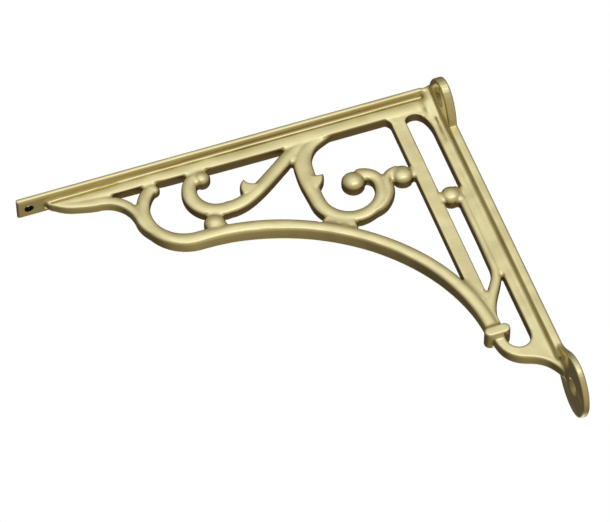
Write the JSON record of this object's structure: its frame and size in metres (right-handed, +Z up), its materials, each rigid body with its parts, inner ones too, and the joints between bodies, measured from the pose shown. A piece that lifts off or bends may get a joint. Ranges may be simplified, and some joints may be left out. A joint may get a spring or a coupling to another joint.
{
  "type": "shelf bracket",
  "caption": "Cast brass wall bracket with a T-section shelf arm and wall arm, an arched brace between them and open scrollwork, screwed to a wall through round ears.",
  "frame": {"origin": "middle of the flat wall face, halfway up the wall arm and on the casting's mid plane", "axes": "+Z up, +X into the wall, the shelf arm runs along -X, and the casting is symmetric about Y = 0"},
  "size_m": [0.2, 0.0408, 0.187],
  "materials": {
    "cast_brass": "polished cast brass under clear lacquer"
  },
  "bodies": {
    "root": {"bracket": "cast_brass"}
  },
  "joints": []
}
